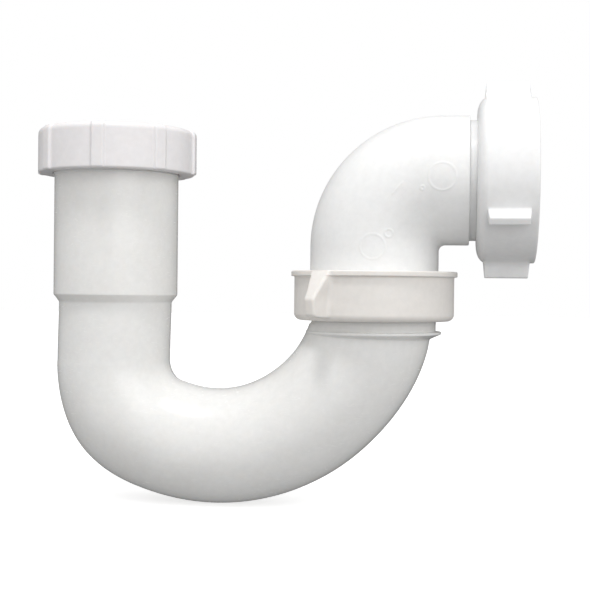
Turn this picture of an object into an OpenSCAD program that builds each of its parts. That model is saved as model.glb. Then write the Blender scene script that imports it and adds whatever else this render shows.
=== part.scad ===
// P-trap for a 38.1 mm (1-1/2 in) tubular waste.
// A slip-joint socket takes the tailpiece from above, a J-bend holds the water seal, and a captive
// union nut joins it to a swivelling elbow whose own captive nut screws onto a wall adapter.
// Millimetres. The origin is the top of the socket's tailpiece bore, where the mouth's chamfer ends.
// +Z points up out of the socket and the outlet points along +X. Threads are plain cylinders, with
// the running clearance between them. Drops are measured down from the socket's mouth.

/* [Inlet socket] */
// Bore of the socket, an easy fit on a 38.1 mm tailpiece
socket_bore_d = 38.8; // [38.7:0.1:39.4]
// Drop from the mouth to the foot of that bore
socket_bore_drop = 44; // [30:1:50]
// Outside of the socket below its thread
socket_d = 47.6; // [46.6:0.2:48]
// Drop from the mouth to the step where the socket ends
socket_drop = 57; // [54:0.5:60]
// Outside of the slip-joint thread
inlet_thread_d = 48.2; // [48:0.1:48.8]
// Length of the slip-joint thread
inlet_thread_h = 11; // [8:0.5:14]

/* [J-bend] */
// Outside of the bent tube
tube_d = 44.2; // [42:0.2:44.6]
// Waterway through the bent tube
waterway_d = 37; // [34:0.5:38]
// Centreline radius of the first, tighter part of the bend
tight_bend_r = 30.2; // [30:0.1:34]
// Centreline radius of the second, wider part of the bend
wide_bend_r = 59.8; // [57:0.1:61]
// Drop from the mouth to the start of the bend
bend_drop = 82.2; // [78:0.5:84]

/* [Inlet slip nut] */
// Outside of the nut between its ribs
inlet_nut_d = 60; // [56:0.5:62]
// Height of the nut
inlet_nut_h = 17; // [15:0.5:20]
// How far the nut stands above the socket's mouth
inlet_nut_rise = 6.5; // [6:0.1:7]
// Number of grip ribs
inlet_ribs = 8; // [4:1:12]
// Width of a grip rib
inlet_rib_w = 4.5; // [3:0.5:8]
// How far a rib stands proud of the nut
inlet_rib_proud = 1; // [0.5:0.1:2]

/* [Union] */
// Drop from the mouth to the face of the J-bend that carries the gasket
union_drop = 59.8; // [59:0.2:61]
// Outside of the J-bend's neck, where the captive nut turns
neck_d = 46.6; // [46:0.2:47]
// Outside of the flange above the neck
flange_d = 52; // [51:0.2:52.6]
// Outside of the barb that keeps the nut on the neck
barb_d = 50.6; // [49:0.2:51]
// Thickness of the flange
flange_h = 3; // [2.5:0.1:3.4]
// Height of neck left free below the nut
neck_free_h = 4; // [3:0.2:4.4]
// Thickness of the gasket and of the outlet washer
gasket_h = 2.8; // [2:0.1:3.2]
// Outside of the elbow's threaded collar
union_thread_d = 54.4; // [54:0.1:54.8]
// Length of the elbow's threaded collar
collar_h = 9; // [8:0.2:10]

/* [Captive nuts] */
// Outside of the union nut's body
union_nut_d = 60; // [59:0.2:62]
// Outside of the union nut's rim
union_rim_d = 62.4; // [62:0.2:64]
// Height of the union nut
union_nut_h = 18.4; // [17.6:0.2:20]
// Outside of the outlet nut's body
outlet_nut_d = 61.2; // [59:0.2:62]
// Length of the outlet nut
outlet_nut_h = 21.4; // [20:0.2:25]
// Outside of the union nut across its wing tips
union_wing_span = 75.2; // [72:0.2:77]
// Outside of the outlet nut across its wing tips
outlet_wing_span = 72.4; // [70:0.2:77]
// Thickness of the closed end of either nut
nut_floor_h = 2.6; // [2:0.1:3]

/* [Elbow] */
// Outside of the elbow
elbow_d = 48.2; // [47:0.2:48.8]
// Waterway through the elbow
elbow_bore_d = 42; // [40:0.5:43]
// Centreline radius of the elbow
elbow_bend_r = 24.9; // [24.5:0.1:26]
// Height of the outlet axis below the socket's mouth
outlet_drop = 13.1; // [10:0.1:16]
// Distance from the union axis to the elbow's outlet end
elbow_reach = 35.2; // [34:0.1:38]
// Outside of the outlet tail, where the outlet nut turns
tail_d = 44.8; // [44:0.2:46]
// Length of tail left bare between the elbow and the outlet nut
tail_free_h = 2.6; // [2:0.1:4]

/* [Hidden] */
$fn = 96;

overlap = 1;            // how far a cutter runs past the face that it opens
run_fit = 0.1;          // radial clearance of a thread
neck_fit = 0.3;         // radial clearance of a captive nut on its neck
face_gap = 0.2;         // gap between a turning face and its neighbour
thread_bore_d = union_thread_d + 2 * run_fit;

// Socket mouth and the bevelled washer that seals in it
mouth_chamfer_h = 5;
mouth_d = 44.8;
mouth_z = mouth_chamfer_h;
washer_bore_d = 38.5;
washer_d = 47.2;
washer_gap = 0.3;
tail_entry_d = 39.6;

// The two arcs of the bend meet at a tangent point, and the wide arc's centre follows from that.
// The angle there is that of a 44-117-125 triangle, so its cosine and sine are exact decimals.
tight_turn = atan2(117, 44);
arc_gap = wide_bend_r - tight_bend_r;
tight_z = mouth_z - bend_drop;
wide_x = tight_bend_r + arc_gap * cos(tight_turn);
wide_z = tight_z + arc_gap * sin(tight_turn);
leg_spacing = wide_x + wide_bend_r;

// Levels of the union, from the gasket face down and up
union_z = mouth_z - union_drop;
neck_top_z = union_z - flange_h;
union_nut_floor_z = neck_top_z - face_gap;
union_nut_z = union_nut_floor_z - nut_floor_h;
barb_z = union_nut_z - neck_free_h;
collar_z = union_z + gasket_h;
outlet_z = mouth_z - outlet_drop;
elbow_centre_z = outlet_z - elbow_bend_r;
outlet_x = leg_spacing + elbow_reach;
outlet_nut_x = outlet_x + tail_free_h;
outlet_flange_x = outlet_nut_x + nut_floor_h + face_gap;
outlet_face_x = outlet_flange_x + flange_h;

// Profile of a round cap: a disc of radius r and height h whose top edge is rounded
module cap_profile(r, h, edge) {
    square([r - edge, h]);
    square([r, h - edge]);
    translate([r - edge, h - edge]) circle(r = edge);
}

// A tube's solid core along an arc in the XZ plane about (x, z): the part of a ring that lies in
// the wedge between the two angles
module arc_core(x, z, bend_r, d, from, to) {
    reach = 200;
    wedge_angles = [from, (from + to) / 2, to];
    translate([x, 0, z]) rotate([90, 0, 0]) intersection() {
        rotate_extrude() translate([bend_r, 0]) circle(d = d);
        linear_extrude(height = 2 * d, center = true)
            polygon(concat([[0, 0]], [for (a = wedge_angles) reach * [cos(a), sin(a)]]));
    }
}

// Both arcs of the J-bend, the second one up to the angle given
module bend_core(d, to) {
    arc_core(tight_bend_r, tight_z, tight_bend_r, d, 180, 180 + tight_turn);
    arc_core(wide_x, wide_z, wide_bend_r, d, 180 + tight_turn, to);
}

// A round section of the inlet leg, from one drop below the mouth down to another
module leg_section(top_drop, foot_drop, top_d, foot_d) {
    translate([0, 0, mouth_z - foot_drop]) cylinder(d1 = foot_d, d2 = top_d, h = foot_drop - top_drop);
}

module at_union(z) { translate([leg_spacing, 0, z]) children(); }
module at_outlet(x) { translate([x, 0, outlet_z]) rotate([0, 90, 0]) children(); }

// Neck, flange and barb: the barb's underside slopes so that the nut snaps over it from below
module union_neck() {
    barb_edge = 0.8;
    ramp_h = 3.4;
    at_union(barb_z - barb_edge - ramp_h)
        cylinder(d1 = waterway_d + 4, d2 = barb_d, h = ramp_h);
    at_union(barb_z - barb_edge) cylinder(d = barb_d, h = barb_edge);
    at_union(barb_z) cylinder(d = neck_d, h = neck_top_z - barb_z);
    at_union(neck_top_z) cylinder(d = flange_d, h = flange_h);
}

// The bent tube stops below the captive nut, so that only the round neck passes through the nut
module trap_bend() {
    step_h = 2.8;
    bore_cone_h = 4;
    neck_mid_z = (barb_z + neck_top_z) / 2;
    neck_angle = 360 - asin((wide_z - neck_mid_z) / wide_bend_r);
    color("ghostwhite") difference() {
        union() {
            leg_section(0, inlet_thread_h, inlet_thread_d, inlet_thread_d);
            leg_section(inlet_thread_h, socket_drop, socket_d, socket_d);
            leg_section(socket_drop, socket_drop + step_h, socket_d, tube_d);
            leg_section(socket_drop + step_h, bend_drop, tube_d, tube_d);
            difference() {
                bend_core(tube_d, neck_angle);
                at_union(neck_mid_z) cylinder(d = flange_d, h = union_z - neck_mid_z);
            }
            union_neck();
        }
        leg_section(0, mouth_chamfer_h, mouth_d, socket_bore_d);
        leg_section(mouth_chamfer_h, socket_bore_drop, socket_bore_d, socket_bore_d);
        leg_section(socket_bore_drop, socket_bore_drop + bore_cone_h, socket_bore_d, waterway_d);
        leg_section(socket_bore_drop + bore_cone_h, bend_drop, waterway_d, waterway_d);
        bend_core(waterway_d, 360);
    }
}

// Bevelled slip-joint washer: a flat top for the nut, and a cone that wedges into the mouth
module inlet_washer() {
    cone_h = mouth_chamfer_h - 1;
    cone_top_d = mouth_d - 2 * washer_gap;
    cone_tip_d = washer_bore_d + 0.6;
    top_h = inlet_nut_rise - nut_floor_h - washer_gap;
    color("gainsboro") translate([0, 0, mouth_z]) rotate_extrude()
        polygon([
            [washer_bore_d / 2, -cone_h], [cone_tip_d / 2, -cone_h], [cone_top_d / 2, 0],
            [cone_top_d / 2, washer_gap], [washer_d / 2, washer_gap], [washer_d / 2, top_h],
            [washer_bore_d / 2, top_h]
        ]);
}

// Slip nut: closed end up, with the tailpiece hole in it, and ribs to grip
module inlet_nut() {
    edge = 2.2;
    first_rib = -87;
    inside_h = inlet_nut_h - nut_floor_h;
    color("lavenderblush") translate([0, 0, mouth_z + inlet_nut_rise - inlet_nut_h]) difference() {
        union() {
            rotate_extrude() cap_profile(inlet_nut_d / 2, inlet_nut_h, edge);
            intersection() {
                rotate_extrude() cap_profile(inlet_nut_d / 2 + inlet_rib_proud, inlet_nut_h, edge);
                for (k = [0 : inlet_ribs - 1])
                    rotate(first_rib + k * 360 / inlet_ribs)
                        translate([0, -inlet_rib_w / 2, 0]) cube([inlet_nut_d, inlet_rib_w, inlet_nut_h]);
            }
        }
        translate([0, 0, -overlap]) cylinder(d = inlet_thread_d + 2 * run_fit, h = inside_h + overlap);
        cylinder(d = tail_entry_d, h = inlet_nut_h + overlap);
    }
}

// One wing of the union nut: its edge slopes out from the rim, then drops straight
module union_wing() {
    foot_z = 2;
    shoulder_z = 8.2;
    root_r = union_nut_d / 2 - overlap;
    top_w = 8.4;
    foot_w = 4.8;
    intersection() {
        rotate([90, 0, 0]) linear_extrude(height = top_w, center = true)
            polygon([
                [root_r, foot_z], [union_wing_span / 2, foot_z], [union_wing_span / 2, shoulder_z],
                [union_rim_d / 2, union_nut_h], [root_r, union_nut_h]
            ]);
        rotate([90, 0, 90]) linear_extrude(height = union_wing_span)
            polygon([
                [-foot_w / 2, foot_z], [foot_w / 2, foot_z], [foot_w / 2, shoulder_z],
                [top_w / 2, union_nut_h], [-top_w / 2, union_nut_h], [-foot_w / 2, shoulder_z]
            ]);
    }
}

// Union nut: open end up, floor below with the hole that runs on the J-bend's neck
module union_nut() {
    edge = 3.6;
    rim_h = 2;
    first_wing = -122;
    color("oldlace") at_union(union_nut_z) difference() {
        union() {
            translate([0, 0, union_nut_h - rim_h]) mirror([0, 0, 1])
                rotate_extrude() cap_profile(union_nut_d / 2, union_nut_h - rim_h, edge);
            translate([0, 0, union_nut_h - rim_h]) cylinder(d = union_rim_d, h = rim_h);
            for (side = [0, 180]) rotate(first_wing + side) union_wing();
        }
        translate([0, 0, nut_floor_h]) cylinder(d = thread_bore_d, h = union_nut_h);
        translate([0, 0, -overlap]) cylinder(d = neck_d + 2 * neck_fit, h = union_nut_h);
    }
}

// Flat ring that seals either joint, of the bore given
module flat_ring(bore_d) {
    difference() {
        cylinder(d = flange_d + 1, h = gasket_h);
        translate([0, 0, -overlap]) cylinder(d = bore_d, h = gasket_h + 2 * overlap);
    }
}

module union_gasket() { color("dimgray") at_union(union_z) flat_ring(waterway_d + 1.5); }
module outlet_washer() { color("dimgray") at_outlet(outlet_face_x) flat_ring(waterway_d); }

// Elbow: threaded collar at its foot, a quarter turn, and a short level stretch to the outlet
module elbow() {
    centre_x = leg_spacing + elbow_bend_r;
    rise_h = elbow_centre_z - collar_z;
    level_h = outlet_x - centre_x;
    color("white") difference() {
        union() {
            at_union(collar_z) cylinder(d = union_thread_d, h = collar_h);
            at_union(collar_z) cylinder(d = elbow_d, h = rise_h);
            arc_core(centre_x, elbow_centre_z, elbow_bend_r, elbow_d, 90, 180);
            at_outlet(centre_x) cylinder(d = elbow_d, h = level_h);
        }
        at_union(collar_z - overlap) cylinder(d = elbow_bore_d, h = rise_h + overlap);
        arc_core(centre_x, elbow_centre_z, elbow_bend_r, elbow_bore_d, 90, 180);
        at_outlet(centre_x) cylinder(d = elbow_bore_d, h = level_h + overlap);
    }
}

// Outlet tail: a spigot welded into the elbow, the neck for the nut, and the sealing flange
module outlet_tail() {
    spigot_h = 8;
    weld_gap = 0.05;
    neck_h = outlet_flange_x - outlet_x;
    color("whitesmoke") difference() {
        union() {
            at_outlet(outlet_x - spigot_h) cylinder(d = elbow_bore_d - 2 * weld_gap, h = spigot_h);
            at_outlet(outlet_x) cylinder(d = tail_d, h = neck_h);
            at_outlet(outlet_flange_x) cylinder(d = flange_d, h = flange_h);
        }
        at_outlet(outlet_x - spigot_h - overlap)
            cylinder(d = waterway_d, h = spigot_h + neck_h + flange_h + 2 * overlap);
    }
}

// Outlet nut: closed end toward the elbow, open end out. One pair of its wings has wide roots, and
// the other pair's sides are almost parallel.
module outlet_nut() {
    edge = 3.4;
    wing_start = 2.8;
    wing_l = 16.6;
    tip_w = 5;
    wings = [[-1, 10.4], [-60, 5.6], [120, 5.6], [179, 10.4]]; // angle and root width of each
    root_r = outlet_nut_d / 2 - overlap;
    seat_d = flange_d + 1.6;
    seat_h = outlet_face_x + gasket_h - outlet_nut_x + face_gap;
    color("white") at_outlet(outlet_nut_x) difference() {
        union() {
            translate([0, 0, outlet_nut_h]) mirror([0, 0, 1])
                rotate_extrude() cap_profile(outlet_nut_d / 2, outlet_nut_h, edge);
            for (wing = wings) rotate(wing[0]) translate([0, 0, wing_start]) linear_extrude(height = wing_l)
                polygon([
                    [root_r, -wing[1] / 2], [outlet_wing_span / 2, -tip_w / 2],
                    [outlet_wing_span / 2, tip_w / 2], [root_r, wing[1] / 2]
                ]);
        }
        translate([0, 0, seat_h]) cylinder(d = thread_bore_d, h = outlet_nut_h);
        translate([0, 0, nut_floor_h]) cylinder(d = seat_d, h = outlet_nut_h);
        translate([0, 0, -overlap]) cylinder(d = tail_d + 2 * neck_fit, h = outlet_nut_h);
    }
}

trap_bend();
inlet_washer();
inlet_nut();
union_nut();
union_gasket();
elbow();
outlet_tail();
outlet_nut();
outlet_washer();
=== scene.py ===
import math

import bmesh
import bpy
import numpy as np
from mathutils import Matrix, Vector


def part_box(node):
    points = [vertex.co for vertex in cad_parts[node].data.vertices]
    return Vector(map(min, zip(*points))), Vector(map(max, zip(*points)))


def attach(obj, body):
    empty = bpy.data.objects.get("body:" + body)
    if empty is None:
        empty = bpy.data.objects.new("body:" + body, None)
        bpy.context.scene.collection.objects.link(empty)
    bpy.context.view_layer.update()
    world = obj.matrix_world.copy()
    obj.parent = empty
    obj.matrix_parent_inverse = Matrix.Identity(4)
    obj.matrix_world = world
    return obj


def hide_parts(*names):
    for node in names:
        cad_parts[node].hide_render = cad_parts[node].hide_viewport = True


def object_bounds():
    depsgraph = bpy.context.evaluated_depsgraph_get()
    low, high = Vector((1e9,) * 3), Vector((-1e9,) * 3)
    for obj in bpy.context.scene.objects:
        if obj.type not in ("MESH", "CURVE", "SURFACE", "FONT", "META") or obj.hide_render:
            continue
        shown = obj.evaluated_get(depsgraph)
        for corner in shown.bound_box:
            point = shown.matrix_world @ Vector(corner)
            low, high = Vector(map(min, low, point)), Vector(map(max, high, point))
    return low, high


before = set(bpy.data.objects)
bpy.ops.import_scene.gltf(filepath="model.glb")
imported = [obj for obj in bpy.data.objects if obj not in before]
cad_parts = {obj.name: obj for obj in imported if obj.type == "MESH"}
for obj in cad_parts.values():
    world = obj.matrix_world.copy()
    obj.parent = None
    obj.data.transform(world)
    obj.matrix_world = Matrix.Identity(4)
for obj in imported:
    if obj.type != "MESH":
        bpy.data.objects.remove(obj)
cad_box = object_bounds()

# ---------------------------------------------------------------------------------------------
# Sizes in millimetres. Places come from the frame's boxes; the rest repeats the part's own sizes.
# ---------------------------------------------------------------------------------------------
MM = 0.001
LEAD = 25.4 / 11.5                    # thread lead: how far one turn goes
THREAD_ROW = 0.2                      # spacing of the rings along a thread


def low(node):
    """Lowest corner of the node's box."""
    return np.array(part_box(node)[0]) / MM


def high(node):
    """Highest corner of the node's box."""
    return np.array(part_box(node)[1]) / MM


MOUTH_Z = high("trap_bend")[2]
UNION_X = (low("union_gasket")[0] + high("union_gasket")[0]) / 2
UNION_Z = low("union_gasket")[2]
COLLAR_Z = high("union_gasket")[2]
OUTLET_Z = (low("outlet_washer")[2] + high("outlet_washer")[2]) / 2
OUTLET_NUT_X = low("outlet_nut")[0]
OUTLET_NUT_L = high("outlet_nut")[0] - OUTLET_NUT_X
OUTLET_FACE_X = low("outlet_washer")[0]
INLET_NUT_Z = low("inlet_nut")[2]
INLET_NUT_H = high("inlet_nut")[2] - INLET_NUT_Z
UNION_NUT_Z = low("union_nut")[2]
UNION_NUT_H = high("union_nut")[2] - UNION_NUT_Z

TUBE_R, WATERWAY_R = 22.1, 18.5
LEG_R, LEAN = 21.63, 0.45             # the tube's leg, and how far it stands off the inlet axis
SOCKET_R, SOCKET_BORE_R, MOUTH_R = 23.8, 19.4, 22.4
INLET_THREAD_R = 24.1
THREAD_END_Z = MOUTH_Z - 11           # foot of the socket's thread
STEP_Z = MOUTH_Z - 57                 # foot of the socket's wide part
BORE_END_Z = MOUTH_Z - 44             # where the tailpiece's bore narrows to the waterway
TIGHT_R, WIDE_R = 30.2, 59.8
TIGHT_Z = MOUTH_Z - 82.2
TIGHT_TURN = math.atan2(117, 44)
WIDE_X = TIGHT_R + (WIDE_R - TIGHT_R) * math.cos(TIGHT_TURN)
WIDE_Z = TIGHT_Z + (WIDE_R - TIGHT_R) * math.sin(TIGHT_TURN)
NECK_R, FLANGE_R, BARB_R = 23.3, 26.0, 25.3
NECK_TOP_Z = UNION_Z - 3.0
BARB_Z = UNION_NUT_Z - 4.0
FOOT_Z = -71.0                        # where the bend's rings have swung level, below the neck
ELBOW_R, ELBOW_BORE_R, ELBOW_BEND_R = 24.1, 21.0, 24.9
COLLAR_H, UNION_THREAD_R = 9.0, 27.2
ELBOW_X = UNION_X + ELBOW_BEND_R
ELBOW_Z = OUTLET_Z - ELBOW_BEND_R
OUTLET_X = UNION_X + 35.2
TAIL_R = 22.4
SEAM_H, SEAM_W = 0.10, 0.38           # height and width of the parting lines
NO_RISE = 1e-3                        # height of a rib or wing where the ring is plain


# ---------------------------------------------------------------------------------------------
# Profiles
# ---------------------------------------------------------------------------------------------
def rounded(points, closed=False, steps=5, support=0.3):
    """A polyline of (a, b, radius) with each corner an arc and a support point on either side."""
    n, out = len(points), []
    for i in range(n):
        p = np.array(points[i][:2], float)
        radius = points[i][2]
        if (not closed and i in (0, n - 1)) or radius <= 0:
            out.append(p)
            continue
        before = np.array(points[i - 1][:2], float) - p
        after = np.array(points[(i + 1) % n][:2], float) - p
        len_a, len_b = np.linalg.norm(before), np.linalg.norm(after)
        before, after = before / len_a, after / len_b
        half = math.acos(max(-1, min(1, float(before @ after)))) / 2
        room = 0.42 * min(len_a, len_b)
        cut = min(max(radius / max(math.tan(half), 1e-6), 0.02), room)
        weight = math.sin(half)
        extra = min(support, 0.4 * (room - cut) + 1e-4)
        out.append(p + before * (cut + extra))
        for k in range(steps + 1):
            s = k / steps
            b0, b1, b2 = (1 - s) ** 2, 2 * s * (1 - s) * weight, s * s
            out.append((b0 * (p + before * cut) + b1 * p + b2 * (p + after * cut)) / (b0 + b1 + b2))
        out.append(p + after * (cut + extra))
    return np.array(out)


def filled(line, spacing, closed=False):
    """The polyline with points added wherever an edge is longer than the spacing."""
    n, out = len(line), []
    for i in range(n):
        out.append(line[i])
        if i == n - 1 and not closed:
            break
        nxt = line[(i + 1) % n]
        parts = int(math.ceil(np.linalg.norm(nxt - line[i]) / spacing))
        out.extend(line[i] + (nxt - line[i]) * k / parts for k in range(1, parts))
    return np.array(out)


def smooth(x):
    """0 below 0, 1 above 1, and an S-curve between."""
    x = np.clip(x, 0, 1)
    return x * x * (3 - 2 * x)


def soft_max(a, b, r):
    """The larger of the two, with a fillet of about radius r where they cross."""
    h = np.clip(0.5 + 0.5 * (a - b) / r, 0, 1)
    return b + (a - b) * h + r * h * (1 - h)


GROOVE_DEPTH, CREST, FLANK = 0.85, 0.3, 0.42      # crest and flank as shares of half a turn
RUN_OUT = 0.6 * LEAD


def thread_groove(z, phi, start, end):
    """Depth of a right-hand thread's groove at height z and angle phi, faded out at both ends."""
    turn = (z / LEAD - phi / (2 * math.pi)) % 1.0
    slope = np.clip((1 - np.abs(2 * turn - 1) - CREST) / FLANK, 0, 1)
    ends = smooth((z - start) / RUN_OUT) * smooth((end - z) / RUN_OUT)
    return GROOVE_DEPTH * smooth(slope) * ends


def seam(off):
    """Height of a parting line at this distance from its middle."""
    return SEAM_H * np.exp(-(off / SEAM_W) ** 2)


# ---------------------------------------------------------------------------------------------
# Meshes: a grid of closed rings whose last ring joins the first
# ---------------------------------------------------------------------------------------------
def grid_piece(name, rings, material, body, node):
    """A watertight piece from (rings, columns, 3) points in millimetres."""
    rings = np.asarray(rings, float)
    rows, cols = rings.shape[:2]
    index = np.arange(rows * cols).reshape(rows, cols)
    a, b = index, np.roll(index, -1, 0)
    c, d = np.roll(b, -1, 1), np.roll(a, -1, 1)
    faces = np.stack([a, b, c, d], -1).reshape(-1, 4)
    mesh = bpy.data.meshes.new(name)
    mesh.from_pydata((rings.reshape(-1, 3) * MM).tolist(), [], faces.tolist())
    bm = bmesh.new()
    bm.from_mesh(mesh)
    bmesh.ops.recalc_face_normals(bm, faces=bm.faces)
    bm.to_mesh(mesh)
    bm.free()
    mesh.shade_smooth()
    mesh.materials.append(material)
    obj = bpy.data.objects.new(name, mesh)
    bpy.context.scene.collection.objects.link(obj)
    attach(obj, body)
    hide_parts(node)
    return obj


def standing(xy, z):
    """Ring points (x, y) at height z."""
    return np.column_stack([xy, np.full(len(xy), z)])


BUMP_STEPS, ROUND_COLUMNS = 4, 144


def bump(root, tip, height, root_edge, tip_edge, zone):
    """Half of a rib or wing as (sideways, outward) points: half widths at root and tip, its height,
    the radii of its two edges, and how far sideways its stretch of the ring goes."""
    half = rounded(
        [(zone, 0, 0), (root, 0, root_edge), (tip, height, tip_edge), (0, height, 0)],
        steps=BUMP_STEPS, support=0.25)
    half = np.insert(half, 1, (half[0] + half[1]) / 2, axis=0)
    half = np.insert(half, -1, (half[-1] + half[-2]) / 2, axis=0)
    return half


def featured_ring(radius, features, zone, gap):
    """Ring of this radius with (angle, root, tip, height, root_edge, tip_edge) features on it, and
    gap points between one feature and the next."""
    out = []
    reach = math.asin(zone / radius)
    for k, (phi, *shape) in enumerate(features):
        half = bump(*shape, zone)
        t = np.concatenate([-half[:, 0], half[-2::-1, 0]])
        rise = np.concatenate([half[:, 1], half[-2::-1, 1]])
        n = np.sqrt(radius ** 2 - t ** 2) + rise
        out.append(np.column_stack([
            n * math.cos(phi) - t * math.sin(phi), n * math.sin(phi) + t * math.cos(phi)]))
        nxt = features[(k + 1) % len(features)][0]
        turn = (nxt - phi) % (2 * math.pi)
        angles = phi + reach + (turn - 2 * reach) * np.arange(1, gap + 1) / (gap + 1)
        out.append(np.column_stack([radius * np.cos(angles), radius * np.sin(angles)]))
    return np.vstack(out)


def plain_ring(radius):
    angles = np.linspace(0, 2 * math.pi, ROUND_COLUMNS, endpoint=False)
    return np.column_stack([radius * np.cos(angles), radius * np.sin(angles)])


def carve(xy, groove):
    """The ring moved outward by groove(angle)."""
    phi = np.arctan2(xy[:, 1], xy[:, 0])
    radius = np.hypot(xy[:, 0], xy[:, 1])
    radius = radius + groove(phi)
    return np.column_stack([radius * np.cos(phi), radius * np.sin(phi)])


# ---------------------------------------------------------------------------------------------
# Materials: moulded plastic with flow clouding, fine moulding grain, faint scuffs and specks
# ---------------------------------------------------------------------------------------------
def node_of(tree, kind, **values):
    made = tree.nodes.new(kind)
    for key, value in values.items():
        setattr(made, key, value)
    return made


def noise(tree, vector, scale, detail=3.0, rough=0.5, distortion=0.0):
    made = node_of(tree, "ShaderNodeTexNoise")
    made.inputs["Scale"].default_value = scale
    made.inputs["Detail"].default_value = detail
    made.inputs["Roughness"].default_value = rough
    made.inputs["Distortion"].default_value = distortion
    tree.links.new(vector, made.inputs["Vector"])
    return made.outputs["Fac"]


def ramp(tree, fac, stops):
    made = node_of(tree, "ShaderNodeValToRGB")
    elements = made.color_ramp.elements
    while len(elements) > 1:
        elements.remove(elements[-1])
    elements[0].position, elements[0].color = stops[0]
    for position, colour in stops[1:]:
        elements.new(position).color = colour
    tree.links.new(fac, made.inputs["Fac"])
    return made.outputs["Color"]


def put(tree, socket, value):
    """Give the socket a number or colour, or link another socket to it."""
    if isinstance(value, (int, float, tuple)):
        socket.default_value = value
    else:
        tree.links.new(value, socket)


def mix(tree, a, b, fac, mode="MIX"):
    made = node_of(tree, "ShaderNodeMix", data_type="RGBA", blend_type=mode)
    for socket, value in ((made.inputs[0], fac), (made.inputs[6], a), (made.inputs[7], b)):
        put(tree, socket, value)
    return made.outputs[2]


def maths(tree, operation, *values):
    made = node_of(tree, "ShaderNodeMath", operation=operation)
    for socket, value in zip(made.inputs, values):
        put(tree, socket, value)
    return made.outputs[0]


def grey(v):
    return (v, v, v, 1.0)


def span(tree, value, low_in, high_in, low_out, high_out):
    made = node_of(tree, "ShaderNodeMapRange")
    made.inputs["From Min"].default_value = low_in
    made.inputs["From Max"].default_value = high_in
    made.inputs["To Min"].default_value = low_out
    made.inputs["To Max"].default_value = high_out
    tree.links.new(value, made.inputs["Value"])
    return made.outputs["Result"]


# How fine each pattern of the plastic is
CLOUDS, MOTTLE, SPECKS = 28.0, 420.0, 95.0
GLOSS_PATCHES, SCUFFS = 60.0, 260.0
SINK_MARKS, MOULD_GRAIN, SINK_SHARE = 45.0, 900.0, 6.0
SPECK_COLOUR = (0.30, 0.27, 0.24, 1.0)


def plastic_colour(tree, at, colour, shade, specks):
    """Soft flow clouds between the two tints, a finer mottle, and a few dark specks."""
    base = ramp(tree, noise(tree, at, CLOUDS, 4.0, 0.55, 0.6), [(0.32, shade), (0.68, colour)])
    mottle = ramp(tree, noise(tree, at, MOTTLE, 3.0, 0.6), [(0.3, grey(0.955)), (0.7, grey(1.0))])
    base = mix(tree, base, mottle, 1.0, "MULTIPLY")
    cells = node_of(tree, "ShaderNodeTexVoronoi", feature="F1")
    cells.inputs["Scale"].default_value = SPECKS
    tree.links.new(at, cells.inputs["Vector"])
    chosen = node_of(tree, "ShaderNodeSeparateColor")
    tree.links.new(cells.outputs["Color"], chosen.inputs["Color"])
    rare = span(tree, chosen.outputs["Red"], 0.93, 0.94, 0.0, 1.0)
    dot = span(tree, cells.outputs["Distance"], 0.035, 0.02, 0.0, 1.0)
    speck = maths(tree, "MULTIPLY", rare, dot)
    return mix(tree, base, SPECK_COLOUR, maths(tree, "MULTIPLY", speck, specks))


def plastic_roughness(tree, at, roughness):
    """Patchy gloss with faint scuffs."""
    patch = noise(tree, at, GLOSS_PATCHES, 5.0, 0.6, 0.4)
    stretched = node_of(tree, "ShaderNodeMapping")
    stretched.inputs["Scale"].default_value = (1.0, 1.0, 6.0)
    stretched.inputs["Rotation"].default_value = (0.3, 0.5, 0.2)
    tree.links.new(at, stretched.inputs["Vector"])
    scuff = noise(tree, stretched.outputs["Vector"], SCUFFS, 2.0, 0.7, 1.5)
    rough = span(tree, patch, 0.3, 0.7, roughness - 0.045, roughness + 0.05)
    return maths(tree, "ADD", rough, span(tree, scuff, 0.60, 0.72, 0.0, 0.10))


def plastic_relief(tree, at, grain):
    """Moulding grain on slow sink marks."""
    slow = noise(tree, at, SINK_MARKS, 2.0, 0.5)
    height = maths(tree, "MULTIPLY_ADD", slow, SINK_SHARE, noise(tree, at, MOULD_GRAIN, 4.0, 0.6))
    relief = node_of(tree, "ShaderNodeBump")
    relief.inputs["Strength"].default_value = 0.35
    relief.inputs["Distance"].default_value = grain * MM
    tree.links.new(height, relief.inputs["Height"])
    return relief.outputs["Normal"]


def plastic(name, colour, shade, roughness, seed, subsurface=0.15, depth=3.0, grain=0.012, specks=0.5):
    """Moulded plastic. Its flow clouding runs between the tints colour and shade. depth is how far
    light spreads under the skin, and grain how deep its relief is, both in millimetres."""
    material = bpy.data.materials.new(name)
    material.use_nodes = True
    tree = material.node_tree
    tree.nodes.clear()
    place = node_of(tree, "ShaderNodeTexCoord")
    shift = node_of(tree, "ShaderNodeMapping")
    shift.inputs["Location"].default_value = (seed, seed * 0.7, -seed)
    tree.links.new(place.outputs["Object"], shift.inputs["Vector"])
    at = shift.outputs["Vector"]

    shader = node_of(tree, "ShaderNodeBsdfPrincipled")
    put(tree, shader.inputs["Base Color"], plastic_colour(tree, at, colour, shade, specks))
    put(tree, shader.inputs["Roughness"], plastic_roughness(tree, at, roughness))
    put(tree, shader.inputs["Normal"], plastic_relief(tree, at, grain))
    shader.inputs["IOR"].default_value = 1.49
    shader.inputs["Subsurface Weight"].default_value = subsurface
    shader.inputs["Subsurface Radius"].default_value = (1.0, 0.82, 0.66)
    shader.inputs["Subsurface Scale"].default_value = depth * MM
    out = node_of(tree, "ShaderNodeOutputMaterial")
    tree.links.new(shader.outputs["BSDF"], out.inputs["Surface"])
    return material


def tint(r, g, b):
    return (r, g, b, 1.0)


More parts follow.
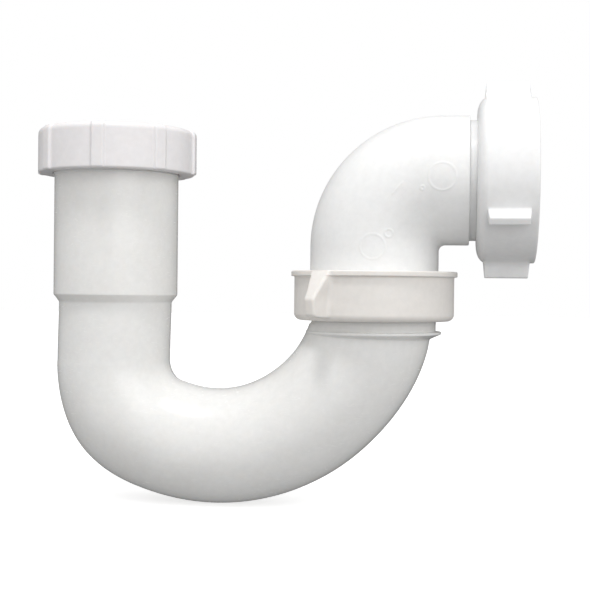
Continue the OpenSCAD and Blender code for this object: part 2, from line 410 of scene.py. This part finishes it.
BEND = plastic(
    "bend_plastic_mat", tint(0.84, 0.835, 0.82), tint(0.80, 0.793, 0.775), 0.21, 0.11,
    subsurface=0.22, depth=5.0)
INLET_NUT = plastic(
    "inlet_nut_plastic_mat", tint(0.82, 0.80, 0.805), tint(0.79, 0.77, 0.775), 0.40, 0.37, subsurface=0.18)
UNION_NUT = plastic(
    "union_nut_plastic_mat", tint(0.83, 0.80, 0.765), tint(0.79, 0.76, 0.725), 0.42, 0.53, subsurface=0.18)
ELBOW = plastic(
    "elbow_plastic_mat", tint(0.86, 0.86, 0.855), tint(0.83, 0.83, 0.825), 0.37, 0.71)
OUTLET_NUT = plastic(
    "outlet_nut_plastic_mat", grey(0.85), grey(0.82), 0.37, 0.93)
WASHER = plastic(
    "washer_plastic_mat", tint(0.74, 0.75, 0.74), tint(0.68, 0.69, 0.68), 0.5, 1.13,
    subsurface=0.35, depth=4.0, specks=0.0)
RUBBER = plastic(
    "gasket_rubber_mat", tint(0.040, 0.040, 0.042), tint(0.026, 0.026, 0.028), 0.62, 1.37,
    subsurface=0.0, depth=1.0, grain=0.05, specks=0.0)


# ---------------------------------------------------------------------------------------------
# J-bend
# ---------------------------------------------------------------------------------------------
def bend_columns():
    """Angles round the tube, with close ones at the two parting lines (angle 0 is the outer side)."""
    near = np.array([0.0, 0.15, 0.3, 0.5, 0.8, 1.2, 1.8]) / TUBE_R
    around = np.linspace(0, math.pi, 66)
    around = around[(around > near[-1] * 1.3) & (around < math.pi - near[-1] * 1.3)]
    half = np.concatenate([near, around, math.pi - near[::-1]])
    return np.concatenate([half, 2 * math.pi - half[-2:0:-1]])


COLUMNS = bend_columns()


def parting():
    """Height of the parting lines on each column of the bend."""
    return seam(np.abs(np.sin(COLUMNS)) * TUBE_R)


def tilted(x, z, angle, radii):
    """A ring about (x, z) in the plane that holds the Y axis and the direction given in XZ."""
    across = np.asarray(radii) * np.cos(COLUMNS)
    return np.column_stack([
        x + across * math.cos(angle), np.asarray(radii) * np.sin(COLUMNS), z + across * math.sin(angle)])


def hump(a, centre, width):
    """1 at the centre and falling off over the width, both in degrees."""
    return np.exp(-((a - math.radians(centre)) / math.radians(width)) ** 2)


# The moulded bend's two swellings, at the heel and on the rise to the union: centre and width in
# degrees round the arcs
HEEL, RISE = (219, 23), (340, 16)


def sag(a):
    """How far the moulded bend's centreline runs outside the nominal arcs at this angle."""
    return LEAN - (LEAN - 0.13) * smooth((a - 3.9) / 0.6) - 0.13 * smooth((a - 5.6) / 0.3) \
        + 0.85 * hump(a, *HEEL) + 0.65 * hump(a, *RISE)


def girth(a):
    """How much the bent tube's radius differs from the nominal one at this angle."""
    return LEG_R - TUBE_R + 0.22 * smooth((a - 3.9) / 0.6) + 0.25 * smooth((a - 4.9) / 0.5) \
        + 0.85 * hump(a, *HEEL) + 0.6 * hump(a, *RISE)


def lean(z):
    """How far the inlet leg stands off its axis at height z."""
    return LEAN * smooth((STEP_Z - z) / (STEP_Z - TIGHT_Z))


HALVINGS = 40


def torus_hit(x, z, angle, tube_r):
    """Radii at which rays from (x, z) in the tilted plane leave the wide arc's tube."""
    near, far = np.zeros(len(COLUMNS)), np.full(len(COLUMNS), WIDE_R)
    for _ in range(HALVINGS):
        mid = (near + far) / 2
        across = mid * np.cos(COLUMNS)
        px, py = x + across * math.cos(angle), mid * np.sin(COLUMNS)
        pz = z + across * math.sin(angle)
        a = np.arctan2(pz - WIDE_Z, px - WIDE_X) % (2 * math.pi)
        a = np.where(a < 1, 2 * math.pi, a)
        gap = np.hypot(np.hypot(px - WIDE_X, pz - WIDE_Z) - WIDE_R - sag(a), py) - tube_r - girth(a)
        near, far = np.where(gap < 0, mid, near), np.where(gap < 0, far, mid)
    return (near + far) / 2


TURN_END = 2 * math.pi - math.radians(42)     # where rings stop being square to the wide arc
TIGHT_RINGS, WIDE_RINGS, FAN_RINGS = 48, 56, 16


def bend_rings(tube, lift):
    """Rings of the bent tube of radius tube, from its start to where the fan of rings begins."""
    out = []
    first = math.pi + TIGHT_TURN
    turns = [(TIGHT_R, TIGHT_Z, TIGHT_R, math.pi + TIGHT_TURN * k / TIGHT_RINGS)
             for k in range(1, TIGHT_RINGS + 1)]
    turns += [(WIDE_X, WIDE_Z, WIDE_R, first + (TURN_END - first) * k / WIDE_RINGS)
              for k in range(1, WIDE_RINGS + 1)]
    for x, z, arc_r, a in turns:
        reach = arc_r + sag(a)
        out.append(tilted(x + reach * math.cos(a), z + reach * math.sin(a), a, tube + girth(a) + lift))
    return out


def wide_arc_x(z):
    """Where the wide arc's centreline passes height z on its way up to the union."""
    return WIDE_X + WIDE_R * math.cos(math.asin((WIDE_Z - z) / WIDE_R))


def fan_rings(tube_r, end_z, lift):
    """Rings that lie on the wide arc's tube while their planes swing level, ending at end_z."""
    out = []
    start = np.array([WIDE_X + WIDE_R * math.cos(TURN_END), WIDE_Z + WIDE_R * math.sin(TURN_END)])
    end = np.array([wide_arc_x(end_z), end_z])
    for k in range(1, FAN_RINGS + 1):
        s = k / FAN_RINGS
        x, z = start + (end - start) * s
        a = TURN_END + (2 * math.pi - TURN_END) * smooth(s)
        out.append(tilted(x, z, a, torus_hit(x, z, a, tube_r) + lift))
    return out


def leg_rings():
    """Down the outside of the inlet leg: the mouth, the thread, the wide part, its step, the tube."""
    mouth = rounded([
        (MOUTH_R, MOUTH_Z, 0), (INLET_THREAD_R, MOUTH_Z, 0.45), (INLET_THREAD_R, THREAD_END_Z, 0)],
        support=0.2)
    rings = [tilted(0, z, math.pi, r) for r, z in mouth[1:-1]]
    z = mouth[-2][1] - 0.18
    while z > THREAD_END_Z + 0.1:
        groove = thread_groove(z, math.pi - COLUMNS, THREAD_END_Z, MOUTH_Z - 0.2)
        rings.append(tilted(0, z, math.pi, INLET_THREAD_R - groove))
        z -= THREAD_ROW
    leg = rounded([
        (INLET_THREAD_R, THREAD_END_Z, 0), (SOCKET_R, THREAD_END_Z - 0.4, 0.4), (SOCKET_R, STEP_Z, 0.7),
        (LEG_R, STEP_Z - 2.8, 1.4), (LEG_R, TIGHT_Z, 0)])
    for r, z in filled(leg, 1.6):
        raised = 0.6 * parting() if z < THREAD_END_Z - 1 else 0.0
        rings.append(tilted(-lean(z), z, math.pi, r + raised))
    return rings


def neck_rings():
    """From the bent tube up onto the barbed neck and its flange, centred on the union's axis."""
    profile = rounded([
        (17.5, BARB_Z - 4.4, 0), (BARB_R, BARB_Z - 0.9, 0.25), (BARB_R, BARB_Z, 0.22),
        (NECK_R, BARB_Z, 0.35), (NECK_R, NECK_TOP_Z, 0.5), (FLANGE_R, NECK_TOP_Z, 0.25),
        (FLANGE_R, UNION_Z, 0.3), (WATERWAY_R + 1, UNION_Z, 0)], steps=4, support=0.2)
    foot_x = wide_arc_x(FOOT_Z)
    rings = []
    for r, z in filled(profile, 0.5):
        if z >= UNION_NUT_Z - 0.6:
            rings.append(tilted(UNION_X, z, 0.0, r))
            continue
        # the ring is centred between the arc and the union, and off is how far from the union
        x = foot_x + (UNION_X - foot_x) * smooth((z - FOOT_Z) / 3.0)
        off = x - UNION_X
        neck = -off * np.cos(COLUMNS) + np.sqrt(np.maximum(r * r - (off * np.sin(COLUMNS)) ** 2, 1))
        tube = torus_hit(x, z, 0.0, TUBE_R)
        if z > BARB_Z - 0.2:
            tube = neck + (tube - neck) * (1 - smooth((z - UNION_NUT_Z + 1.6) / 1.0))
        rings.append(tilted(x, z, 0.0, soft_max(tube, neck, 0.5)))
    return rings


def waterway_rings():
    """Down the inside from the neck, back round the bend, and up the tailpiece's bore."""
    inner_foot = UNION_Z - 6.0
    rings = [tilted(UNION_X, UNION_Z, 0.0, WATERWAY_R + 0.6)]
    for z in np.linspace(UNION_Z - 0.4, inner_foot, 7):
        x = wide_arc_x(z)
        rings.append(tilted(x, z, 0.0, torus_hit(x, z, 0.0, WATERWAY_R)))
    rings += fan_rings(WATERWAY_R, inner_foot, 0.0)[-2::-1]
    rings += bend_rings(WATERWAY_R, 0.0)[::-1]
    bore = rounded([
        (WATERWAY_R, TIGHT_Z, 0), (WATERWAY_R, BORE_END_Z - 4, 0.8), (SOCKET_BORE_R, BORE_END_Z, 0.4),
        (SOCKET_BORE_R, MOUTH_Z - 5, 0.4), (MOUTH_R, MOUTH_Z, 0.35), (MOUTH_R + 1, MOUTH_Z, 0)])
    return rings + [tilted(-lean(z), z, math.pi, r) for r, z in filled(bore, 2.4)[:-1]]


def j_bend():
    rings = leg_rings() + bend_rings(TUBE_R, parting()) + fan_rings(TUBE_R, FOOT_Z, parting())
    rings += neck_rings() + waterway_rings()
    return grid_piece("j_bend", rings, BEND, "trap", "trap_bend")


# ---------------------------------------------------------------------------------------------
# Nuts
# ---------------------------------------------------------------------------------------------
def thread_rows(bore_r, profile, spacing=2.5):
    """Rows (r, z) along the inside of a nut, close together along its thread."""
    rows = []
    line = filled(profile, spacing)
    for (r, z), (r2, z2) in zip(line[:-1], line[1:]):
        rows.append((r, z))
        if abs(r - bore_r) < 0.02 and abs(r2 - bore_r) < 0.02:
            steps = int(abs(z2 - z) / THREAD_ROW)
            rows.extend((r, z + (z2 - z) * k / steps) for k in range(1, steps))
    rows.append(tuple(line[-1]))
    return rows


def inlet_nut():
    body_r, edge = 30.0, 2.2
    rib_count, rib_turn, rib_proud, rib_half = 8, -87, 0.99, 2.25
    bore_r, hole_r, ceiling = 24.2, 19.8, INLET_NUT_H - 2.6
    ribs = [math.radians(rib_turn + 360 / rib_count * k) for k in range(rib_count)]
    zone, gap = 5.0, 8

    def ring(r, proud):
        """A ring whose ribs stand out by this share of their height."""
        shape = (rib_half + 0.5, rib_half - 0.2, rib_proud * proud + NO_RISE, 0.9, 0.6)
        return featured_ring(r, [(p, *shape) for p in ribs], zone, gap)

    outside = filled(rounded([
        (bore_r + 0.7, 0, 0.2), (body_r, 0, 0.7), (body_r, INLET_NUT_H, edge), (hole_r, INLET_NUT_H, 0.5),
        (hole_r, ceiling, 0.3)], steps=6), 1.6)
    rings = []
    for r, z in outside[1:-1]:
        proud = float(smooth((r - 25.5) / 2.5))
        rings.append(standing(ring(r, proud), z + INLET_NUT_Z))
    inside = rounded([
        (hole_r, ceiling + 0.5, 0), (hole_r, ceiling, 0.2), (bore_r, ceiling, 0.6), (bore_r, 0.7, 0.1),
        (bore_r + 0.7, 0, 0.15), (bore_r + 2, 0, 0)], steps=4, support=0.15)
    for r, z in thread_rows(bore_r, inside)[1:-1]:
        xy = ring(r, 0.0)
        if abs(r - bore_r) < 0.05:
            xy = carve(xy, lambda phi: thread_groove(z, phi, 0.5, 12.0))
        rings.append(standing(xy, z + INLET_NUT_Z))
    return grid_piece("slip_nut", rings, INLET_NUT, "slip_nut", "inlet_nut")


def union_nut():
    body_r, rim_r, corner = 30.0, 31.2, 3.6
    rim_z = UNION_NUT_H - 2.0
    floor_h, bore_r, hole_r = 2.6, 27.3, 23.6
    # each wing slopes out from the rim to its shoulder, and drops from there to its foot
    wings = [math.radians(-124 + 180 * k) for k in range(2)]
    span_r, shoulder, foot, wing_root_r = 37.6, 8.0, 1.9, 27.0
    zone, gap = 9.0, 62
    row_gap = 0.045

    outer = rounded([
        (hole_r + 0.6, 0, 0), (body_r, 0, corner), (body_r, rim_z, 0.9), (rim_r, rim_z, 0.35),
        (rim_r, UNION_NUT_H, 0.55), (bore_r + 0.6, UNION_NUT_H, 0.3), (bore_r, UNION_NUT_H - 0.6, 0)],
        steps=7, support=0.25)
    wing = filled(rounded([
        (rim_r - 0.1, UNION_NUT_H + 0.4, 0), (span_r, shoulder, 2.2), (span_r - 0.8, foot, 1.3),
        (24.0, 0.6, 0)], steps=8, support=0.3), 0.7)
    wing_up = wing[np.argsort(wing[:, 1], kind="stable")]
    wall = outer[(outer[:, 0] > body_r - corner - 0.3) & (outer[:, 1] < UNION_NUT_H - 0.01)]
    wall_up = wall[np.argsort(wall[:, 1], kind="stable")]

    def ring(r, z, winged):
        reach = float(np.interp(z, wing_up[:, 1], wing_up[:, 0])) if winged else r
        height = max(reach - r, 0.0)
        share = float(smooth((z - shoulder + 1.0) / (UNION_NUT_H - shoulder)))
        root, tip = 2.9 + 1.7 * share, 2.3 + 1.4 * share
        return featured_ring(r, [(p, root, tip, height + NO_RISE, 1.6, 1.3) for p in wings], zone, gap)

    def placed(xy, z):
        return standing(xy, z + UNION_NUT_Z) + (UNION_X, 0, 0)

    # the wall takes the body's rows and the wings' too; the floor and the top keep the body's
    rows = [(r, z) for r, z in filled(outer, 0.9)[1:-1]]
    floor = [(r, z) for r, z in rows if r <= body_r - corner and z < 1]
    on_wall = [(r, z) for r, z in rows if r > body_r - corner and z < rim_z - 0.4]
    top = rows[rows.index(on_wall[-1]) + 1:]
    on_wall += [(float(np.interp(z, wall_up[:, 1], wall_up[:, 0])), z)
                for z in wing[:, 1] if 0.6 < z < rim_z - 0.6]
    kept = []
    for r, z in sorted(on_wall, key=lambda row: row[1]):
        if not kept or z - kept[-1][1] > row_gap:
            kept.append((r, z))
    rings = [placed(ring(r, z, r >= wing_root_r and z > 0.02), z) for r, z in floor + kept + top]

    inside = rounded([
        (bore_r + 1.2, UNION_NUT_H, 0), (bore_r + 0.6, UNION_NUT_H, 0.2), (bore_r, UNION_NUT_H - 0.7, 0.1),
        (bore_r, floor_h, 0.5), (hole_r, floor_h, 0.25), (hole_r, 0, 0.35), (hole_r + 1.4, 0, 0)],
        steps=4, support=0.15)
    for r, z in thread_rows(bore_r, inside)[1:-1]:
        xy = ring(r, z, False)
        if abs(r - bore_r) < 0.05:
            xy = carve(xy, lambda phi: thread_groove(z, phi, floor_h + 5.0, UNION_NUT_H - 0.4))
        rings.append(placed(xy, z))
    return grid_piece("union_nut_ring", rings, UNION_NUT, "union_ring", "union_nut")


def outlet_point(rings):
    """Rings built about +Z, with local x down and z along the outlet, put in place on +X."""
    rings = np.asarray(rings, float)
    return np.stack([rings[..., 2] + OUTLET_NUT_X, rings[..., 1], OUTLET_Z - rings[..., 0]], -1)


def outlet_nut():
    body_r, hole_r, floor_h = 30.6, TAIL_R + 0.3, 2.6
    seat_r, seat_h, bore_r = 26.8, 8.8, 27.3
    corner_l, corner_r = 3.8, 6.1             # the closed end's corner is an ellipse
    # half widths at root and tip, root fillet, and how far short of the others' ends it stops
    wide, narrow = (4.2, 2.2, 3.2, 0), (2.1, 1.5, 1.0, 0.9)
    wings = [(math.radians(a), *shape) for a, shape in (
        (118, narrow), (179, wide), (298, narrow), (359, wide))]
    span_r, tip_edge, wing_from, wing_to = 36.2, 0.7, 3.1, 19.2
    zone, gap = 9.0, 24
    row_gap = 0.03

    arc = [(body_r - corner_r * (1 - math.sin(t)), corner_l * (1 - math.cos(t)))
           for t in np.linspace(0, math.pi / 2, 15)]
    corner = np.array(arc)
    wall = [(body_r, z) for z in np.arange(corner_l + 0.5, OUTLET_NUT_L - 0.9, 0.9)]
    ends = [end + side * step
            for side, end in ((1, wing_from), (-1, wing_to), (1, wing_from + 0.9), (-1, wing_to - 0.9))
            for step in (-0.75, -0.5, -0.3, -0.12, 0.0, 0.08, 0.2, 0.36, 0.6, 0.9)]

    def radius_at(z):
        return body_r if z >= corner_l else float(np.interp(z, corner[:, 1], corner[:, 0]))

    # rows along the outside, close together at the wings' ends
    kept = []
    for r, z in sorted(arc + wall + [(radius_at(z), z) for z in ends], key=lambda row: (row[1], row[0])):
        if not kept or z - kept[-1][1] > row_gap or (z < 0.5 and abs(r - kept[-1][0]) > 0.3):
            kept.append((r, z))

    def rise(z, inset):
        """Share of the wing's height at z: its two ends stand almost square."""
        return float(min(smooth((z - wing_from - inset + 0.5) / 0.75),
                         smooth((wing_to - inset + 0.5 - z) / 0.75)))

    def ring(r, z, winged):
        features = []
        for angle, root, tip, fillet, inset in wings:
            height = (span_r - r) * rise(z, inset) if winged else 0.0
            features.append((angle, root, tip, height + NO_RISE, fillet, tip_edge))
        return featured_ring(r, features, zone, gap)

    rings = [standing(ring(hole_r + 0.25, 0.0, False), 0.0)]
    rings += [standing(ring(r, z, z > 1.5), z) for r, z in kept]
    rim = rounded([
        (body_r, OUTLET_NUT_L - 1.5, 0), (body_r, OUTLET_NUT_L, 0.5), (bore_r + 0.7, OUTLET_NUT_L, 0.3),
        (bore_r, OUTLET_NUT_L - 0.8, 0.1), (bore_r, seat_h, 0.2), (seat_r, seat_h, 0.15),
        (seat_r, floor_h, 0.5), (hole_r, floor_h, 0.3), (hole_r, 0, 0.25), (hole_r + 0.4, 0, 0)],
        steps=4, support=0.15)
    for r, z in thread_rows(bore_r, rim)[1:-1]:
        xy = ring(r, z, r > body_r - 0.01 and z < OUTLET_NUT_L - 0.6)
        if abs(r - bore_r) < 0.05:
            xy = carve(xy, lambda phi: thread_groove(z, phi, seat_h + 0.3, OUTLET_NUT_L - 0.5))
        rings.append(standing(xy, z))
    return grid_piece("outlet_nut_ring", outlet_point(rings), OUTLET_NUT, "outlet_ring", "outlet_nut")


# ---------------------------------------------------------------------------------------------
# Elbow and tail
# ---------------------------------------------------------------------------------------------
def elbow_columns():
    """Angles round the elbow, close together on the side that carries the moulded marks."""
    front = np.radians(np.linspace(218, 322, 150))
    rest = np.radians(np.linspace(322, 578, 92))[1:-1]
    return np.concatenate([front, rest]) % (2 * math.pi)


ELBOW_COLUMNS = elbow_columns()
INNER_FILLET = 2.3
OUTER_ROW = 0.36                      # spacing of the rings that carry the moulded marks
BEND_RINGS, BORE_RINGS = 104, 32


def elbow_ring(x, z, angle, across, side):
    """A ring about (x, z) in the plane that holds the Y axis and the direction given in XZ."""
    return np.column_stack([x + across * math.cos(angle), side, z + across * math.sin(angle)])


def round_ring(x, z, angle, radius):
    return elbow_ring(x, z, angle, radius * np.cos(ELBOW_COLUMNS), radius * np.sin(ELBOW_COLUMNS))


def outer_ring(x, z, angle, along):
    """A ring of the elbow's outside, with the crotch that its two legs make on the inner side
    rounded. along is how far along a leg the ring is from the bend, and None within the bend."""
    across = ELBOW_R * np.cos(ELBOW_COLUMNS)
    local = ELBOW_BEND_R + across               # distance from the bend's centre
    tight = (local < INNER_FILLET) & (across < 0)
    if along is None:
        gap = INNER_FILLET - local
        toward = (math.cos(angle) - math.sin(angle)) * gap
        reach = toward + np.sqrt(np.maximum(toward ** 2 - 2 * gap ** 2 + INNER_FILLET ** 2, 0))
    else:
        near = np.clip(np.maximum(INNER_FILLET - local, 0) - along, 0, None)
        reach = local - INNER_FILLET + np.sqrt(INNER_FILLET ** 2 - np.minimum(near, INNER_FILLET) ** 2)
        tight = tight & (near > 0)
    across = np.where(tight, reach - ELBOW_BEND_R, across)
    return elbow_ring(x, z, angle, across, ELBOW_R * np.sin(ELBOW_COLUMNS))


def moulded_marks(points):
    """Height of the plain moulded rings and the bar at points on the elbow's near side."""
    x, y, z = points[:, 0] - UNION_X, points[:, 1], points[:, 2] - OUTLET_Z
    line_w, edge_w = 0.5, 0.3

    def line(gap, tall):
        """Height of a raised line at this distance from its middle."""
        return tall * (1 - smooth((gap - line_w / 2 + edge_w / 2) / edge_w))

    height = np.zeros(len(points))
    for centre_x, centre_z, radius, tall in (
            (25.5, -0.5, 4.9, 0.12), (1.0, -25.5, 4.5, 0.12),
            (6.7, -20.7, 1.4, 0.14), (18.5, -4.6, 0.7, 0.14)):
        circle = np.abs(np.hypot(x - centre_x, z - centre_z) - radius)
        height = np.maximum(height, line(circle, tall))
    bar_x, bar_z, bar_dx, bar_dz = 7.9, -6.7, 3.5, 4.0
    share = np.clip(((x - bar_x) * bar_dx + (z - bar_z) * bar_dz) / (bar_dx ** 2 + bar_dz ** 2), 0, 1)
    bar = np.hypot(x - bar_x - share * bar_dx, z - bar_z - share * bar_dz)
    return np.where(y < -6, np.maximum(height, line(bar, 0.12)), 0.0)


def marked_ring(x, z, angle, along):
    """A ring of the elbow's outside with its parting line and moulded marks."""
    plain = outer_ring(x, z, angle, along)
    outward = plain - (x, 0, z)
    outward /= np.linalg.norm(outward, axis=1)[:, None]
    parting_line = seam(np.sin(ELBOW_COLUMNS) * ELBOW_R) * (np.cos(ELBOW_COLUMNS) > 0)
    return plain + outward * (moulded_marks(plain) + parting_line)[:, None]


def elbow():
    """Up the outside from the collar's foot, round the bend to the outlet end, and back inside."""
    collar_top = COLLAR_Z + COLLAR_H
    rings = []

    def bend_place(a):
        return ELBOW_X + ELBOW_BEND_R * math.cos(a), ELBOW_Z + ELBOW_BEND_R * math.sin(a)

    collar = rounded([
        (ELBOW_BORE_R + 0.5, COLLAR_Z, 0), (UNION_THREAD_R, COLLAR_Z, 0.4),
        (UNION_THREAD_R, collar_top, 0.35), (ELBOW_R, collar_top, 0.7), (ELBOW_R, collar_top + 2.5, 0)],
        steps=4, support=0.15)
    for r, z in thread_rows(UNION_THREAD_R, collar, 0.8):
        if abs(r - UNION_THREAD_R) < 0.05:
            r = r - thread_groove(z, math.pi - ELBOW_COLUMNS, COLLAR_Z, collar_top)
        rings.append(round_ring(UNION_X, z, math.pi, r))

    for z in np.arange(collar_top + 2.8, ELBOW_Z - 0.01, OUTER_ROW):
        rings.append(marked_ring(UNION_X, z, math.pi, ELBOW_Z - z))
    for k in range(BEND_RINGS + 1):
        a = math.pi - math.pi / 2 * k / BEND_RINGS
        rings.append(marked_ring(*bend_place(a), a, None))
    for x in np.arange(ELBOW_X + 0.3, OUTLET_X - 0.9, OUTER_ROW):
        rings.append(marked_ring(x, OUTLET_Z, math.pi / 2, x - ELBOW_X))

    end = rounded([
        (ELBOW_R, OUTLET_X - 0.85, 0), (ELBOW_R, OUTLET_X, 0.5), (ELBOW_BORE_R, OUTLET_X, 0.2),
        (ELBOW_BORE_R, ELBOW_X, 0)], steps=5, support=0.12)
    rings += [round_ring(x, OUTLET_Z, math.pi / 2, r) for r, x in filled(end, 2.5)[1:]]
    for k in range(1, BORE_RINGS + 1):
        a = math.pi / 2 + math.pi / 2 * k / BORE_RINGS
        rings.append(round_ring(*bend_place(a), a, ELBOW_BORE_R))
    foot = rounded([
        (ELBOW_BORE_R, ELBOW_Z, 0), (ELBOW_BORE_R, COLLAR_Z, 0.3), (ELBOW_BORE_R + 1, COLLAR_Z, 0)],
        steps=4, support=0.15)
    rings += [round_ring(UNION_X, z, math.pi, r) for r, z in filled(foot, 2.5)[1:-1]]
    return grid_piece("swivel_elbow_body", rings, ELBOW, "swivel_elbow", "elbow")


def turned_piece(name, profile, place, material, body, node):
    """A piece of revolution from a closed profile of (r, h, edge radius) corners."""
    line = filled(rounded(profile, closed=True, steps=4, support=0.15), 1.6, closed=True)
    rings = [standing(plain_ring(r), h) for r, h in line]
    return grid_piece(name, place(np.asarray(rings)), material, body, node)


def tail():
    spigot_r, spigot_l, flange_h = ELBOW_BORE_R - 0.05, 8, 3.0
    weld_x = OUTLET_X - OUTLET_NUT_X
    face_x = OUTLET_FACE_X - OUTLET_NUT_X
    flange_x = face_x - flange_h
    profile = [
        (WATERWAY_R, weld_x - spigot_l, 0.3), (WATERWAY_R, face_x, 0.4), (FLANGE_R, face_x, 0.3),
        (FLANGE_R, flange_x, 0.25), (TAIL_R, flange_x, 0.4), (TAIL_R, weld_x, 0.1),
        (spigot_r, weld_x, 0.1), (spigot_r, weld_x - spigot_l, 0.5)]
    return turned_piece("outlet_tail_neck", profile, outlet_point, ELBOW, "swivel_elbow", "outlet_tail")


def inlet_washer():
    """A flat rim under the nut, with a bevelled lip down into the socket's mouth."""
    tube_r, lip_r, bevel_r, rim_r, lip_h, top = 19.25, 19.55, 22.1, 23.6, 4, 3.6
    profile = [
        (tube_r, -lip_h, 0.15), (lip_r, -lip_h, 0.1), (bevel_r, 0, 0.2), (bevel_r, 0.3, 0.08),
        (rim_r, 0.3, 0.12), (rim_r, top, 0.3), (tube_r, top, 0.25)]
    return turned_piece("slip_joint_washer", profile, lambda rings: rings + (0, 0, MOUTH_Z), WASHER,
                        "inlet_seal", "inlet_washer")


def union_gasket():
    inner_r, outer_r, thick = 19.25, 26.5, 2.8
    profile = [
        (inner_r, 0, 0.25), (outer_r, 0, 0.35), (outer_r, thick, 0.35), (inner_r, thick, 0.25)]
    return turned_piece("union_gasket_ring", profile, lambda rings: rings + (UNION_X, 0, UNION_Z), RUBBER,
                        "union_seal", "union_gasket")


def outlet_washer():
    """Flat, a hair off the tail's flange and a little thinner than the part."""
    inner_r, outer_r, thick = 18.5, 26.5, 2.74
    face = OUTLET_FACE_X - OUTLET_NUT_X + 0.03
    profile = [
        (inner_r, face, 0.25), (outer_r, face, 0.3), (outer_r, face + thick, 0.3),
        (inner_r, face + thick, 0.25)]
    return turned_piece("outlet_flat_washer", profile, outlet_point, RUBBER, "outlet_seal", "outlet_washer")


j_bend()
inlet_nut()
union_nut()
outlet_nut()
elbow()
tail()
inlet_washer()
union_gasket()
outlet_washer()


# ---------------------------------------------------------------------------------------------
# Floor, light and camera
# ---------------------------------------------------------------------------------------------
FLOOR_HALF = 3.0                      # metres


def plain_floor():
    """White ground at the object's foot. It shows only its faint shadow."""
    material = bpy.data.materials.new("floor_mat")
    material.use_nodes = True
    shader = material.node_tree.nodes["Principled BSDF"]
    shader.inputs["Base Color"].default_value = grey(0.9)
    shader.inputs["Roughness"].default_value = 0.9
    shader.inputs["Specular IOR Level"].default_value = 0.1
    shader.inputs["Emission Color"].default_value = grey(1.0)
    shader.inputs["Emission Strength"].default_value = 0.5
    z = cad_box[0][2]
    corners = [(x * FLOOR_HALF, y * FLOOR_HALF, z) for x, y in ((-1, -1), (1, -1), (1, 1), (-1, 1))]
    mesh = bpy.data.meshes.new("floor")
    mesh.from_pydata(corners, [], [(0, 1, 2, 3)])
    mesh.materials.append(material)
    floor = bpy.data.objects.new("floor", mesh)
    floor.visible_diffuse = False
    floor.visible_glossy = False
    bpy.context.scene.collection.objects.link(floor)


def area_light(name, place, target, size, power):
    data = bpy.data.lights.new(name, "AREA")
    data.shape, data.size, data.energy = "SQUARE", size, power
    lamp = bpy.data.objects.new(name, data)
    lamp.location = place
    lamp.rotation_euler = (Vector(target) - Vector(place)).to_track_quat("-Z", "Y").to_euler()
    bpy.context.scene.collection.objects.link(lamp)


# The surroundings' brightness as (share of the way up, value), and the factors on it: from left to
# right, and toward the back as (Y from, Y to, factor from, factor to), diffuse and mirrored
SKY = ((0.0, 0.35), (0.42, 0.52), (0.60, 0.76), (1.0, 0.66))
LEFT_RIGHT = (1.07, 1.22)
BEHIND_DIFFUSE = (0.2, 1.0, 1.0, 0.62)
BEHIND_MIRRORED = (0.3, 0.9, 1.0, 0.12)


def surroundings():
    """White to look at; as a light, brighter above than below, and dimmer behind the object. The
    dimmer back is what the plastic's edges mirror, and it draws their outlines."""
    world = bpy.data.worlds.new("studio")
    bpy.context.scene.world = world
    world.use_nodes = True
    tree = world.node_tree
    tree.nodes.clear()
    place = node_of(tree, "ShaderNodeTexCoord")
    parts = node_of(tree, "ShaderNodeSeparateXYZ")
    tree.links.new(place.outputs["Generated"], parts.inputs["Vector"])
    path = node_of(tree, "ShaderNodeLightPath")
    sky = ramp(tree, span(tree, parts.outputs["Z"], -1.0, 1.0, 0.0, 1.0), [(at, grey(v)) for at, v in SKY])
    behind = node_of(tree, "ShaderNodeMix", data_type="FLOAT")
    tree.links.new(path.outputs["Is Glossy Ray"], behind.inputs[0])
    tree.links.new(span(tree, parts.outputs["Y"], *BEHIND_DIFFUSE), behind.inputs[2])
    tree.links.new(span(tree, parts.outputs["Y"], *BEHIND_MIRRORED), behind.inputs[3])
    across = span(tree, parts.outputs["X"], -1.0, 1.0, *LEFT_RIGHT)
    lighting = node_of(tree, "ShaderNodeBackground")
    tree.links.new(sky, lighting.inputs["Color"])
    tree.links.new(maths(tree, "MULTIPLY", across, behind.outputs[0]), lighting.inputs["Strength"])
    seen = node_of(tree, "ShaderNodeBackground")
    seen.inputs["Color"].default_value = grey(1.0)
    choose = node_of(tree, "ShaderNodeMixShader")
    tree.links.new(path.outputs["Is Camera Ray"], choose.inputs[0])
    tree.links.new(lighting.outputs[0], choose.inputs[1])
    tree.links.new(seen.outputs[0], choose.inputs[2])
    out = node_of(tree, "ShaderNodeOutputWorld")
    tree.links.new(choose.outputs[0], out.inputs["Surface"])


def camera():
    """Level with the middle of the trap, a little to the outlet's side."""
    target = Vector((0.0704, 0.0, -0.0514))
    azimuth, elevation, roll = math.radians(8.0), math.radians(0.4), math.radians(0.6)
    distance = 0.440
    back = Vector((math.sin(azimuth) * math.cos(elevation), -math.cos(azimuth) * math.cos(elevation),
                   math.sin(elevation)))
    data = bpy.data.cameras.new("camera")
    data.sensor_width, data.lens = 36.0, 70.5
    data.clip_start, data.clip_end = 0.01, 20
    cam = bpy.data.objects.new("camera", data)
    turn = (-back).to_track_quat("-Z", "Y").to_matrix().to_4x4() @ Matrix.Rotation(roll, 4, "Z")
    cam.matrix_world = Matrix.Translation(target + back * distance) @ turn
    bpy.context.scene.collection.objects.link(cam)
    bpy.context.scene.camera = cam


plain_floor()
surroundings()
area_light("key", place=(0.02, -0.27, 0.66), target=(0.05, 0, -0.08), size=0.14, power=2.3)
area_light("fill", place=(0.60, -0.90, 0.40), target=(0.07, 0, -0.05), size=0.9, power=3.8)
camera()
bpy.context.scene.view_settings.view_transform = "Standard"
